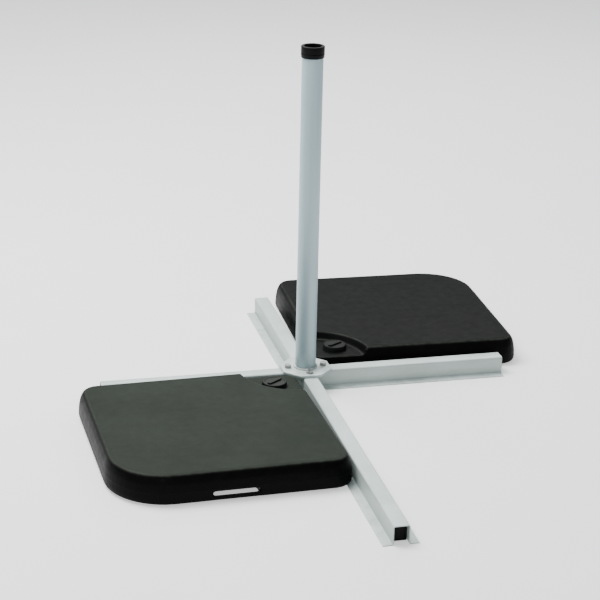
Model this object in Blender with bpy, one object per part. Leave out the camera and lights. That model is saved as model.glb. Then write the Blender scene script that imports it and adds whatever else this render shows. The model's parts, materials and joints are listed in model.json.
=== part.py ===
"""Base of a cantilever parasol: a bolted steel cross, the bottom mast tube and two ballast tanks.

Metres, +Z up, floor at z = 0. The origin is the middle of the footprint; +X runs along the right leg and
+Y along the back leg. Everything is built around the mast axis and hangs on the empty "mast_axis".
"""

import math

import bmesh
import bpy
from mathutils import Vector

GAP = 0.0003  # between pieces that touch
MAST_AXIS = (-0.002, 0.126)  # puts the middle of the footprint at the origin

# Cross of two hat-section bars, half-lapped in the middle
SHEET = 0.002
CHANNEL_WIDTH = 0.035
CHANNEL_HEIGHT = 0.042
FLANGE_WIDTH = 0.0205
BEND_RADIUS = 0.0022  # inside of each bend
FRONT_LEG = 0.80
SHORT_LEG = 0.48
LAP_HEIGHT = 0.021  # the long bar passes above this height, the cross bar below it
PLUG_DEPTH = 0.022
PLUG_SETBACK = 0.016  # of the plug's face behind the bar's end
PLUG_GROUND = 0.001  # clear of the floor
PLUG_EDGE = 0.0008
PLUG_RIM = 0.0035  # round the dish in the plug's face
PLUG_DISH = 0.0012
PLUG_TAPER = 0.004

# Foot plate and its four bolts
PLATE_SIDE = 0.115
PLATE_CLIP = 0.034
PLATE_THICK = 0.006
PLATE_EDGE = 0.0006  # chamfer
BOLT_CIRCLE = 0.042
SHANK_RADIUS = 0.004
HOLE_RADIUS = 0.0045
HEAD_FLATS = 0.013
HEAD_HEIGHT = 0.0053
NUT_HEIGHT = 0.0065
WASHER_RADIUS = 0.008
WASHER_THICK = 0.0016
SHANK_BELOW_NUT = 0.004
BOLT_CHAMFER = 0.0008
HOLE_STEPS = 20
HEX_STEPS = 24

# Bottom mast tube and the swivel joint on top of it
TUBE_RADIUS = 0.024
TUBE_WALL = 0.002
TUBE_TOP = 0.792
WELD_LEG = 0.005
WELD_SWELL = 0.78  # a fillet weld bulges a little past its straight throat
COLLAR_RADIUS = 0.0265
COLLAR_BOTTOM = 0.784
COLLAR_EDGE = 0.001
LINER_BORE = 0.019
LINER_DEPTH = 0.09
LINER_LIP = 0.002
LINER_EDGE = 0.001
RING_TOP = 0.810
RING_EDGE = 0.0012

# Ballast tanks: blow-moulded, square, with one wide-radius corner opposite the filler corner
TANK_SIDE = 0.51
TANK_HEIGHT = 0.064
TANK_WALL = 0.003
FILLER_CORNER_RADIUS = 0.035
SIDE_CORNER_RADIUS = 0.045
OUTER_CORNER_RADIUS = 0.13
# (height, inset) up the side of a tank
TANK_PROFILE = (
    (0.0, 0.0065), (0.0020, 0.0028), (0.0060, 0.0006), (0.0110, 0.0), (0.0300, 0.0010), (0.0460, 0.0038),
    (0.0560, 0.0080), (0.0610, 0.0115), (0.0634, 0.0150), (0.0640, 0.0185),
)
RECESS_FLOOR_RADIUS = 0.122
RECESS_TOP_RADIUS = 0.134
RECESS_DEPTH = 0.018
RECESS_STEPS = 56
NECK_PLACE = (0.064, 0.060)
NECK_RADIUS = 0.023
NECK_BORE = 0.020
NECK_HEIGHT = 0.006
CAP_RADIUS = 0.0285
CAP_TOP_WALL = 0.0025
CAP_LUGS = 18
CAP_LUG_DEPTH = 0.0012
CAP_CLEAR = 0.0004  # round the neck
CAP_EDGE = 0.001
SEAL_THICK = 0.0015
GRIP_WIDTH = 0.100
GRIP_BAR = 0.008
GRIP_BAR_TOP = 0.0120
GRIP_SLOT_TOP = 0.0215
GRIP_DEPTH = 0.036
FILL_HEIGHT = 0.040
# (name, place of the filler corner from the mast axis, turn about +Z)
TANKS = (
    ("front", (-0.034, -0.036), math.pi + 0.027),
    ("back", (0.030, 0.040), -0.028),
)
TANK_GROUND = SHEET + GAP  # the tanks stand on the flanges

ROUND_STEPS = 32
OVERCUT = 0.01  # of a cutter past the face it cuts


def clear_scene():
    for obj in list(bpy.data.objects):
        bpy.data.objects.remove(obj, do_unlink=True)


def material(name, colour, roughness, metallic=0.0):
    made = bpy.data.materials.new(name)
    made.use_nodes = True
    shader = made.node_tree.nodes["Principled BSDF"]
    shader.inputs["Base Color"].default_value = (*colour, 1.0)
    shader.inputs["Roughness"].default_value = roughness
    shader.inputs["Metallic"].default_value = metallic
    return made


def empty(name, place, turn=0.0, parent=None):
    made = bpy.data.objects.new(name, None)
    made.location = place
    made.rotation_euler = (0.0, 0.0, turn)
    made.parent = parent
    bpy.context.collection.objects.link(made)
    return made


def add_piece(name, mesh, look, place=(0.0, 0.0, 0.0), parent=None, turn=0.0):
    mesh.shade_smooth()
    mesh.set_sharp_from_angle(angle=math.radians(32))
    piece = bpy.data.objects.new(name, mesh)
    piece.location = place
    piece.rotation_euler = (0.0, 0.0, turn)
    piece.parent = parent
    if look:
        mesh.materials.append(look)
    bpy.context.collection.objects.link(piece)
    return piece


def helper(name, mesh, parent=None):
    """A solid that only cuts or joins: it is left out of the object."""
    made = add_piece(name, mesh, None, parent=parent)
    made.hide_render = True
    made.display_type = "WIRE"
    return made


def boolean(target, other, operation="DIFFERENCE"):
    modifier = target.modifiers.new(f"{operation.lower()} {other.name}", "BOOLEAN")
    modifier.operation = operation
    modifier.solver = "EXACT"
    modifier.object = other


def mesh_from_rings(name, rings, closed=False):
    """A solid lofted through rings of equally many points; closed joins the last ring to the first."""
    bm = bmesh.new()
    loops = [[bm.verts.new(point) for point in ring] for ring in rings]
    pairs = list(zip(loops, loops[1:]))
    if closed:
        pairs.append((loops[-1], loops[0]))
    for low, high in pairs:
        for i in range(len(low)):
            j = (i + 1) % len(low)
            bm.faces.new((low[i], low[j], high[j], high[i]))
    if not closed:
        bm.faces.new(list(reversed(loops[0])))
        bm.faces.new(loops[-1])
    bmesh.ops.recalc_face_normals(bm, faces=bm.faces)
    mesh = bpy.data.meshes.new(name)
    bm.to_mesh(mesh)
    bm.free()
    return mesh


def flat_ring(outline, z):
    return [(x, y, z) for x, y in outline]


def prism_mesh(name, outline, low, high):
    return mesh_from_rings(name, [flat_ring(outline, low), flat_ring(outline, high)])


def box_mesh(name, low, high):
    outline = ((low[0], low[1]), (high[0], low[1]), (high[0], high[1]), (low[0], high[1]))
    return prism_mesh(name, outline, low[2], high[2])


def circle(radius, steps=ROUND_STEPS, centre=(0.0, 0.0)):
    turns = (math.tau * i / steps for i in range(steps))
    return [(centre[0] + radius * math.cos(a), centre[1] + radius * math.sin(a)) for a in turns]


def turned_mesh(name, profile, steps=ROUND_STEPS):
    """A ring turned about +Z from a closed profile of (radius, height) points."""
    rings = []
    for i in range(steps):
        a = math.tau * i / steps
        rings.append([(r * math.cos(a), r * math.sin(a), z) for r, z in profile])
    return mesh_from_rings(name, rings, closed=True)


def ring_profile(inner, outer, low, high):
    return ((inner, low), (outer, low), (outer, high), (inner, high))


def pipe_profile(inner, outer, low, high, edge):
    """Wall of a pipe with a small chamfer on its four edges."""
    return (
        (inner + edge, low), (outer - edge, low), (outer, low + edge), (outer, high - edge),
        (outer - edge, high), (inner + edge, high), (inner, high - edge), (inner, low + edge),
    )


# ---------------------------------------------------------------- cross


def rounded_path(corners, steps=3):
    """Polygon through corners of (x, z, radius), each rounded by an arc of that radius."""
    points = []
    count = len(corners)
    for i, (x, z, radius) in enumerate(corners):
        here = Vector((x, z))
        if radius <= 0.0:
            points.append((x, z))
            continue
        before = (Vector(corners[i - 1][:2]) - here).normalized()
        after = (Vector(corners[(i + 1) % count][:2]) - here).normalized()
        centre = here + (before + after) * radius
        start = here + before * radius - centre
        end = here + after * radius - centre
        for step in range(steps + 1):
            t = step / steps * math.pi / 2
            points.append(tuple(centre + start * math.cos(t) + end * math.sin(t)))
    return points


def hat_outline():
    """Section of a bar, seen along it: an upside-down channel with a flange on each side."""
    web_out = CHANNEL_WIDTH / 2
    web_in = web_out - SHEET
    tip = web_out + FLANGE_WIDTH
    top_in = CHANNEL_HEIGHT - SHEET
    inner, outer = BEND_RADIUS, BEND_RADIUS + SHEET
    right = [
        (web_in, 0.0, outer), (tip, 0.0, 0.0), (tip, SHEET, 0.0), (web_out, SHEET, inner),
        (web_out, CHANNEL_HEIGHT, outer),
    ]
    left = [(-x, z, radius) for x, z, radius in reversed(right)]
    underside = [(-web_in, top_in, inner), (web_in, top_in, inner)]
    return rounded_path(right + left + underside)


def bar_mesh(name, low, high):
    """A bar along Y from low to high."""
    rings = [[(x, y, z) for x, z in hat_outline()] for y in (low, high)]
    return mesh_from_rings(name, rings)


def bolt_spots():
    return {
        "front": (0.0, -BOLT_CIRCLE),
        "right": (BOLT_CIRCLE, 0.0),
        "back": (0.0, BOLT_CIRCLE),
        "left": (-BOLT_CIRCLE, 0.0),
    }


def build_cross(root, steel, black):
    flange_half = CHANNEL_WIDTH / 2 + FLANGE_WIDTH
    channel_half = CHANNEL_WIDTH / 2
    long_bar = add_piece("long_bar", bar_mesh("long_bar", -FRONT_LEG, SHORT_LEG), steel, parent=root)
    cross_bar = add_piece(
        "cross_bar", bar_mesh("cross_bar", -SHORT_LEG, SHORT_LEG), steel, parent=root, turn=math.pi / 2
    )
    reach = flange_half + OVERCUT
    low = (-reach, -flange_half - GAP, -OVERCUT)
    high = (reach, flange_half + GAP, LAP_HEIGHT + GAP)
    boolean(long_bar, helper("lap_cutter_under", box_mesh("lap_cutter_under", low, high), root))
    low = (-channel_half - GAP, -reach, LAP_HEIGHT)
    high = (channel_half + GAP, reach, CHANNEL_HEIGHT + OVERCUT)
    boolean(cross_bar, helper("lap_cutter_over", box_mesh("lap_cutter_over", low, high), root))
    for side, spot in bolt_spots().items():
        name = f"bar_drill_{side}"
        hole = circle(HOLE_RADIUS, HOLE_STEPS, spot)
        drill = prism_mesh(name, hole, LAP_HEIGHT + OVERCUT, CHANNEL_HEIGHT + OVERCUT)
        boolean(long_bar if side in ("front", "back") else cross_bar, helper(name, drill, root))
    long_face, short_face = FRONT_LEG - PLUG_SETBACK, SHORT_LEG - PLUG_SETBACK
    legs = (
        ("front", (0.0, -long_face), 0.0),
        ("right", (short_face, 0.0), math.pi / 2),
        ("back", (0.0, short_face), math.pi),
        ("left", (-short_face, 0.0), -math.pi / 2),
    )
    for side, (x, y), turn in legs:
        add_piece(f"end_plug_{side}", plug_mesh(f"end_plug_{side}"), black, (x, y, 0.0), root, turn)


def plug_mesh(name):
    """Plug that closes a bar's end: a block with a shallow dish in its outer face, at y = 0."""
    half = CHANNEL_WIDTH / 2 - SHEET - GAP
    top = CHANNEL_HEIGHT - SHEET - GAP
    corner = BEND_RADIUS + GAP

    def outline(shrink):
        low, high, side = PLUG_GROUND + shrink, top - shrink, half - shrink
        foot, radius = PLUG_EDGE, max(corner - shrink, PLUG_EDGE)
        corners = ((side, low, foot), (side, high, radius), (-side, high, radius), (-side, low, foot))
        return rounded_path(corners)

    # (depth behind the face, inset)
    steps = (
        (PLUG_DISH, PLUG_RIM), (0.0, PLUG_RIM - PLUG_DISH), (0.0, PLUG_EDGE), (PLUG_EDGE, 0.0),
        (PLUG_DEPTH, 0.0), (PLUG_DEPTH + PLUG_TAPER, PLUG_DISH),
    )
    return mesh_from_rings(name, [[(x, y, z) for x, z in outline(inset)] for y, inset in steps])


# ---------------------------------------------------------------- mast foot


def plate_outline():
    half, clip = PLATE_SIDE / 2, PLATE_CLIP
    quarter = [(half, -half + clip), (half, half - clip)]
    points = []
    for turn in range(4):
        for x, y in quarter:
            points.append([(x, y), (-y, x), (-x, -y), (y, -x)][turn])
    return points


def build_mast_foot(root, steel, zinc):
    plate_low = CHANNEL_HEIGHT + GAP
    plate_top = plate_low + PLATE_THICK
    small = 1 - 2 * PLATE_EDGE / PLATE_SIDE
    levels = (
        (plate_low, small), (plate_low + PLATE_EDGE, 1.0), (plate_top - PLATE_EDGE, 1.0), (plate_top, small),
    )
    rings = [[(x * scale, y * scale, z) for x, y in plate_outline()] for z, scale in levels]
    plate = add_piece("foot_plate", mesh_from_rings("foot_plate", rings), steel, parent=root)
    washer_low = plate_top + GAP
    head_low = washer_low + WASHER_THICK + GAP
    nut_high = CHANNEL_HEIGHT - SHEET - GAP
    nut_low = nut_high - NUT_HEIGHT
    for side, (x, y) in bolt_spots().items():
        hole = circle(HOLE_RADIUS, HOLE_STEPS, (x, y))
        drill = prism_mesh(f"plate_drill_{side}", hole, plate_low - OVERCUT, plate_top + OVERCUT)
        boolean(plate, helper(f"plate_drill_{side}", drill, root))
        profile = ring_profile(SHANK_RADIUS + GAP, WASHER_RADIUS, washer_low, washer_low + WASHER_THICK)
        bolt = bolt_mesh(f"bolt_{side}", head_low, nut_low - SHANK_BELOW_NUT)
        washer = turned_mesh(f"washer_{side}", profile, HOLE_STEPS)
        nut = nut_mesh(f"nut_{side}", nut_low, nut_high)
        for mesh in (bolt, washer, nut):
            add_piece(mesh.name, mesh, zinc, (x, y, 0.0), root)
    return plate_top


def hexagon_reach(angle):
    """From a hexagon's middle to its side, in the direction angle."""
    to_flat = (angle + math.pi / 6) % (math.pi / 3) - math.pi / 6
    return HEAD_FLATS / 2 / math.cos(to_flat)


def bolt_mesh(name, head_low, tip):
    """Hexagon-head bolt, head up, its axis at x = y = 0."""
    corner = HEAD_FLATS / 2 / math.cos(math.pi / 6)

    def hexagon(shrink, z):
        ring = []
        for i in range(HEX_STEPS):
            a = math.tau * i / HEX_STEPS
            reach = min(hexagon_reach(a), corner - shrink)
            ring.append((reach * math.cos(a), reach * math.sin(a), z))
        return ring

    shank = circle(SHANK_RADIUS, HEX_STEPS)
    head_high = head_low + HEAD_HEIGHT
    rings = [
        flat_ring(circle(SHANK_RADIUS - BOLT_CHAMFER, HEX_STEPS), tip),
        flat_ring(shank, tip + BOLT_CHAMFER),
        flat_ring(shank, head_low),
        hexagon(0.0, head_low),
        hexagon(0.0, head_high - BOLT_CHAMFER),
        hexagon(BOLT_CHAMFER, head_high),
    ]
    return mesh_from_rings(name, rings)


def nut_mesh(name, low, high):
    """Hexagon nut as a ring: a round bore in a six-sided body."""
    bore = SHANK_RADIUS + GAP
    rings = []
    for i in range(HEX_STEPS):
        a = math.tau * i / HEX_STEPS
        profile = ring_profile(bore, hexagon_reach(a), low, high)
        rings.append([(r * math.cos(a), r * math.sin(a), z) for r, z in profile])
    return mesh_from_rings(name, rings, closed=True)


def build_mast(root, plate_top, paint, steel, black, nylon):
    tube_low = plate_top + GAP
    tube = turned_mesh("mast_tube", ring_profile(TUBE_RADIUS - TUBE_WALL, TUBE_RADIUS, tube_low, TUBE_TOP))
    add_piece("mast_tube", tube, paint, parent=root)

    inner = TUBE_RADIUS + GAP
    bead = [(inner, tube_low), (inner + WELD_LEG, tube_low)]
    for step in range(1, 4):
        t = step / 4 * math.pi / 2
        bulge = WELD_LEG * WELD_SWELL
        bead.append((inner + bulge * math.cos(t), tube_low + bulge * math.sin(t)))
    bead.append((inner, tube_low + WELD_LEG))
    add_piece("weld_bead", turned_mesh("weld_bead", bead), steel, parent=root)

    lip_low = TUBE_TOP + GAP
    lip_high = lip_low + LINER_LIP
    collar = pipe_profile(inner, COLLAR_RADIUS, COLLAR_BOTTOM, lip_high, COLLAR_EDGE)
    add_piece("mast_collar", turned_mesh("mast_collar", collar), black, parent=root)

    sleeve = TUBE_RADIUS - TUBE_WALL - GAP
    lip = TUBE_RADIUS - GAP
    liner_low = TUBE_TOP - LINER_DEPTH
    liner = (
        (LINER_BORE + LINER_EDGE, liner_low), (sleeve - LINER_EDGE, liner_low),
        (sleeve, liner_low + LINER_EDGE), (sleeve, lip_low), (lip, lip_low), (lip, lip_high),
        (LINER_BORE + LINER_EDGE, lip_high), (LINER_BORE, lip_high - LINER_EDGE),
        (LINER_BORE, liner_low + LINER_EDGE),
    )
    add_piece("bearing_liner", turned_mesh("bearing_liner", liner), nylon, parent=root)

    ring_low = lip_high + GAP
    ring = pipe_profile(LINER_BORE + GAP, COLLAR_RADIUS, ring_low, RING_TOP, RING_EDGE)
    add_piece("swivel_ring", turned_mesh("swivel_ring", ring), black, parent=root)


# ---------------------------------------------------------------- ballast tanks


def tank_outline(inset, steps=6):
    """Plan of a tank at some inset from its widest: the filler corner is at the origin."""
    low, high = inset, TANK_SIDE - inset
    corners = (
        (low, low, FILLER_CORNER_RADIUS, math.pi),
        (high, low, SIDE_CORNER_RADIUS, -math.pi / 2),
        (high, high, OUTER_CORNER_RADIUS, 0.0),
        (low, high, SIDE_CORNER_RADIUS, math.pi / 2),
    )
    points = []
    for x, y, full, start in corners:
        radius = full - inset
        centre_x = x + radius if x == low else x - radius
        centre_y = y + radius if y == low else y - radius
        arc_steps = steps * 2 if full == OUTER_CORNER_RADIUS else steps
        for step in range(arc_steps + 1):
            a = start + step / arc_steps * math.pi / 2
            points.append((centre_x + radius * math.cos(a), centre_y + radius * math.sin(a)))
    return points


def tank_mesh(name, shrink=0.0, top=None):
    """The tank's outer form, or that form shrunk by a wall, or filled up to the height top."""
    rings = []
    for height, inset in TANK_PROFILE:
        z = shrink + height * (TANK_HEIGHT - 2 * shrink) / TANK_HEIGHT
        if top is not None and z > top:
            rings.append(flat_ring(tank_outline(inset + shrink), top))
            break
        rings.append(flat_ring(tank_outline(inset + shrink), z))
    return mesh_from_rings(name, rings)


def recess_mesh(name, wall=0.0):
    """The quarter-round filler recess as a cutter, or grown by a wall."""
    floor = TANK_HEIGHT - RECESS_DEPTH - wall
    high = TANK_HEIGHT + OVERCUT
    slope = (RECESS_TOP_RADIUS - RECESS_FLOOR_RADIUS) / RECESS_DEPTH
    low_radius = RECESS_FLOOR_RADIUS + wall
    high_radius = low_radius + slope * (high - floor)
    # It reaches past the tank's two inner sides, so only its quarter inside the tank matters.
    rings = [flat_ring(circle(r, RECESS_STEPS), z) for r, z in ((low_radius, floor), (high_radius, high))]
    return mesh_from_rings(name, rings)


def grip_mesh(name, wall=0.0):
    """Finger pocket under the grip bar, open below, or grown by a wall."""
    middle = TANK_SIDE / 2
    half = GRIP_WIDTH / 2 + wall
    back = TANK_SIDE - GRIP_BAR - GRIP_DEPTH - wall
    front = TANK_SIDE - GRIP_BAR if wall == 0.0 else TANK_SIDE + OVERCUT
    return box_mesh(name, (middle - half, back, -OVERCUT), (middle + half, front, GRIP_SLOT_TOP + wall))


def slot_mesh(name):
    """The slot above the grip bar, through the tank's side."""
    middle, half = TANK_SIDE / 2, GRIP_WIDTH / 2
    back = TANK_SIDE - GRIP_BAR - GRIP_DEPTH / 2
    front = TANK_SIDE + OVERCUT
    return box_mesh(name, (middle - half, back, GRIP_BAR_TOP), (middle + half, front, GRIP_SLOT_TOP))


def inner_space(name, clearance, seat, top=None):
    """What a tank can hold: its form less the wall, the recess, the grip pocket and a clearance."""
    wall = TANK_WALL + clearance
    space = helper(name, tank_mesh(name, wall, top), seat)
    boolean(space, helper(f"{name}_recess", recess_mesh(f"{name}_recess", wall), seat))
    boolean(space, helper(f"{name}_grip", grip_mesh(f"{name}_grip", wall), seat))
    return space


def build_tank(side, corner, turn, root, plastic, sand, rubber, black):
    seat = empty(f"{side}_tank_seat", (*corner, TANK_GROUND), turn, root)
    floor = TANK_HEIGHT - RECESS_DEPTH
    rim = floor + NECK_HEIGHT

    shell = add_piece(f"{side}_tank_shell", tank_mesh(f"{side}_tank_shell"), plastic, parent=seat)
    boolean(shell, helper(f"{side}_recess", recess_mesh(f"{side}_recess"), seat))
    boolean(shell, helper(f"{side}_grip", grip_mesh(f"{side}_grip"), seat))
    boolean(shell, helper(f"{side}_slot", slot_mesh(f"{side}_slot"), seat))
    outer = circle(NECK_RADIUS, centre=NECK_PLACE)
    neck = prism_mesh(f"{side}_neck", outer, floor - TANK_WALL / 2, rim)
    boolean(shell, helper(f"{side}_neck", neck, seat), "UNION")
    boolean(shell, inner_space(f"{side}_space", 0.0, seat))
    inner = circle(NECK_BORE, centre=NECK_PLACE)
    bore = prism_mesh(f"{side}_bore", inner, floor - 2 * TANK_WALL, rim + OVERCUT)
    boolean(shell, helper(f"{side}_bore", bore, seat))

    fill = inner_space(f"{side}_tank_ballast", GAP, seat, FILL_HEIGHT)
    fill.hide_render = False
    fill.display_type = "TEXTURED"
    fill.data.materials.append(sand)

    # Cap and seal turn and rise about the neck's own axis.
    axis = empty(f"{side}_cap_axis", (*NECK_PLACE, 0.0), 0.0, seat)
    seal_low = rim + GAP
    seal_high = seal_low + SEAL_THICK
    seal = turned_mesh(f"{side}_cap_seal", ring_profile(NECK_BORE, NECK_RADIUS - GAP, seal_low, seal_high))
    add_piece(f"{side}_cap_seal", seal, rubber, parent=axis)
    add_piece(f"{side}_cap", cap_mesh(f"{side}_cap", floor + 2 * GAP, seal_high + GAP), black, parent=axis)


def cap_mesh(name, low, ceiling):
    """Screw cap: a ribbed skirt round the neck and a flat top."""
    bore = NECK_RADIUS + CAP_CLEAR
    top = ceiling + CAP_TOP_WALL
    steps = CAP_LUGS * 3

    def ribbed(radius, z):
        ring = []
        for i in range(steps):
            rib = CAP_LUG_DEPTH if i % 3 == 0 else 0.0
            a = math.tau * i / steps
            ring.append(((radius - rib) * math.cos(a), (radius - rib) * math.sin(a), z))
        return ring

    edge = CAP_RADIUS - CAP_LUG_DEPTH - CAP_EDGE / 2
    rings = [
        flat_ring(circle(bore, steps), ceiling),
        flat_ring(circle(bore, steps), low),
        ribbed(CAP_RADIUS - CAP_EDGE / 2, low),
        ribbed(CAP_RADIUS, low + CAP_EDGE),
        ribbed(CAP_RADIUS, top - 2 * CAP_EDGE),
        flat_ring(circle(edge, steps), top - CAP_EDGE / 2),
        flat_ring(circle(edge - CAP_EDGE, steps), top),
    ]
    return mesh_from_rings(name, rings)


def main():
    clear_scene()
    galvanised = material("galvanised_steel", (0.70, 0.72, 0.71), 0.42, 0.6)
    paint = material("silver_paint", (0.58, 0.64, 0.66), 0.35, 0.5)
    zinc = material("zinc_plated_steel", (0.62, 0.63, 0.62), 0.35, 1.0)
    black = material("black_plastic", (0.02, 0.02, 0.022), 0.45)
    nylon = material("black_nylon", (0.03, 0.03, 0.03), 0.5)
    plastic = material("moulded_tank_plastic", (0.05, 0.055, 0.05), 0.5)
    rubber = material("seal_rubber", (0.015, 0.015, 0.015), 0.8)
    sand = material("sand", (0.50, 0.42, 0.30), 0.95)

    root = empty("mast_axis", (*MAST_AXIS, 0.0))
    build_cross(root, galvanised, black)
    plate_top = build_mast_foot(root, galvanised, zinc)
    build_mast(root, plate_top, paint, galvanised, black, nylon)
    for side, corner, turn in TANKS:
        build_tank(side, corner, turn, root, plastic, sand, rubber, black)


main()
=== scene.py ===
"""Looks of the parasol base: steel cross, bottom mast tube, swivel ring and two ballast tanks."""

import json
import math

import bmesh
import bpy
from mathutils import Matrix, Vector


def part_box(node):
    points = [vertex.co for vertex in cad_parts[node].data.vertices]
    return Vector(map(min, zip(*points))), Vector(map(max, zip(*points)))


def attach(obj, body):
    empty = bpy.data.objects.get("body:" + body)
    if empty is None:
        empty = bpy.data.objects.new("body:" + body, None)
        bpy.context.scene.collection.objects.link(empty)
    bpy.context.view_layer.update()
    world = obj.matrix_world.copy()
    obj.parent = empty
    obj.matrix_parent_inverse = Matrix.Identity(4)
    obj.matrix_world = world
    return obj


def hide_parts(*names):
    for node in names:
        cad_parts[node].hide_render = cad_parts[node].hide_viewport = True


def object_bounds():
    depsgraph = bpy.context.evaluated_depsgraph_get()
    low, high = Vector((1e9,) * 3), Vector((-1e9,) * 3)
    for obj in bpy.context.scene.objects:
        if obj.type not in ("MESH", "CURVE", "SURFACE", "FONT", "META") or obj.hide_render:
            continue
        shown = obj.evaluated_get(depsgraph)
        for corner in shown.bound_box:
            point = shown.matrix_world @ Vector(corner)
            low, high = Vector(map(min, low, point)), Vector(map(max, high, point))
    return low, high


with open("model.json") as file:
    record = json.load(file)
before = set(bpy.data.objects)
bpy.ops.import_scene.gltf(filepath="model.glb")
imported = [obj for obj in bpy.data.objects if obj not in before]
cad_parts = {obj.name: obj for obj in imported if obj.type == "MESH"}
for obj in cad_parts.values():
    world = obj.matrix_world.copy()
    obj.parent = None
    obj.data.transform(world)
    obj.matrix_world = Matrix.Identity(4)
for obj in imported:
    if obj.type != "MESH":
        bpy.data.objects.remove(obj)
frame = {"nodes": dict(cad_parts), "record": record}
cad_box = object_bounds()
record = frame["record"]

# Sizes that the boxes of the CAD nodes don't give, in metres and radians
GAP = 0.0003  # between pieces that touch
OVERCUT = 0.01  # of a cutter past the face it cuts

SHEET = 0.002
CHANNEL_WIDTH = 0.035
BEND_RADIUS = 0.0022
FLANGE_EDGE = 0.0005
LAP_HEIGHT = 0.021
BOLT_CIRCLE = 0.042
HOLE_RADIUS = 0.0045
PLATE_CLIP = 0.034
PLATE_EDGE = 0.0007
PLATE_DRILL = (0.0, 0.1)  # heights between which its holes are drilled
PLUG_RIM = 0.0035
PLUG_DISH = 0.0012
PLUG_DRAFT = 0.0002
PLUG_EDGE = 0.0008
PLUG_TAPER = 0.004

HEAD_FLATS = 0.013
HEAD_CHAMFER = 0.0006
SHANK_RADIUS = 0.004
THREAD_PITCH = 0.00125
THREAD_ROOT = SHANK_RADIUS * 0.86
PLAIN_SHANK = 0.004  # between thread and head

TUBE_WALL = 0.002
TUBE_EDGE = 0.0004
WELD_RIPPLES = 74
COLLAR_BEAD = 0.0004
LINER_BORE = 0.019
LINER_EDGE = 0.001
LINER_TAPER = 0.002
LINER_LIP_EDGE = 0.0008
FLUTES = 24
FLUTE_DEPTH = 0.0004
FLUTE_END = 0.002  # from the ring's two faces

TANK_SIDE = 0.51
FILLER_CORNER = 0.035
SIDE_CORNER = 0.045
OUTER_CORNER = 0.13
RECESS_FLOOR_RADIUS = 0.122
RECESS_TOP_RADIUS = 0.134
RECESS_DEPTH = 0.018
NECK_PLACE = (0.064, 0.060)
NECK_RADIUS = 0.023
NECK_BORE = 0.020
NECK_HEIGHT = 0.006
NECK_THREAD = 0.0006
NECK_SINK = 0.004  # into the recess's floor
CAP_CLEAR = 0.0004  # round the neck
CAP_RIBS = 54
CAP_RIB_DEPTH = 0.0011
CAP_SHOULDER = 0.0014
CAP_ROUND = 0.0018
CAP_DISH = 0.0009
CAP_TURN = 0.6
CAP_BAR_LOW = 0.0012
CAP_BAR_HIGH = 0.0030
GRIP_WIDTH = 0.100
GRIP_BAR = 0.008
GRIP_BAR_TOP = 0.0120
GRIP_SLOT_TOP = 0.0215
GRIP_DEPTH = 0.036
FILL_HEIGHT = 0.040
TANK_TURNS = {"front": math.pi + 0.027, "back": -0.028}
# (height, inset) up the side of a tank
TANK_PROFILE = (
    (0.0, 0.0065), (0.0020, 0.0028), (0.0060, 0.0006), (0.0110, 0.0), (0.0300, 0.0010), (0.0460, 0.0038),
    (0.0560, 0.0080), (0.0610, 0.0115), (0.0634, 0.0150), (0.0640, 0.0185),
)
TANK_SEAM = 0.0285
TANK_VOXEL = 0.0028

ROUND_STEPS = 96
HOLE_STEPS = 32


def node_box(name):
    low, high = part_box(name)
    return Vector(low), Vector(high)


tube_low, tube_high = node_box("mast_tube")
MAST = ((tube_low.x + tube_high.x) / 2, (tube_low.y + tube_high.y) / 2)
TUBE_RADIUS = (tube_high.x - tube_low.x) / 2


# ---------------------------------------------------------------- meshes


def mesh_from_rings(name, rings, closed=False):
    """A solid lofted through rings of equally many points; with closed, the last ring joins the first."""
    bm = bmesh.new()
    loops = [[bm.verts.new(point) for point in ring] for ring in rings]
    pairs = list(zip(loops, loops[1:]))
    if closed:
        pairs.append((loops[-1], loops[0]))
    for low, high in pairs:
        for i in range(len(low)):
            j = (i + 1) % len(low)
            bm.faces.new((low[i], low[j], high[j], high[i]))
    if not closed:
        bm.faces.new(list(reversed(loops[0])))
        bm.faces.new(loops[-1])
    bmesh.ops.recalc_face_normals(bm, faces=bm.faces)
    mesh = bpy.data.meshes.new(name)
    bm.to_mesh(mesh)
    bm.free()
    return mesh


def flat_ring(outline, z):
    return [(x, y, z) for x, y in outline]


def circle(radius, steps=ROUND_STEPS, centre=(0.0, 0.0)):
    turns = (math.tau * i / steps for i in range(steps))
    return [(centre[0] + radius * math.cos(a), centre[1] + radius * math.sin(a)) for a in turns]


def box_mesh(name, low, high):
    outline = ((low[0], low[1]), (high[0], low[1]), (high[0], high[1]), (low[0], high[1]))
    return mesh_from_rings(name, [flat_ring(outline, low[2]), flat_ring(outline, high[2])])


def turned_mesh(name, profile, steps=ROUND_STEPS):
    """A ring turned about +Z from a closed profile of (radius, height)."""
    rings = []
    for i in range(steps):
        a = math.tau * i / steps
        rings.append([(r * math.cos(a), r * math.sin(a), z) for r, z in profile])
    return mesh_from_rings(name, rings, closed=True)


def rounded_path(corners, steps=6):
    """Polygon through corners of (x, z, radius), each rounded by an arc of that radius."""
    points = []
    count = len(corners)
    for i, (x, z, radius) in enumerate(corners):
        here = Vector((x, z))
        if radius <= 0.0:
            points.append((x, z))
            continue
        before = (Vector(corners[i - 1][:2]) - here).normalized()
        after = (Vector(corners[(i + 1) % count][:2]) - here).normalized()
        centre = here + (before + after) * radius
        start, end = -after * radius, -before * radius
        for step in range(steps + 1):
            t = step / steps * math.pi / 2
            points.append(tuple(centre + start * math.cos(t) + end * math.sin(t)))
    return points


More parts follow.
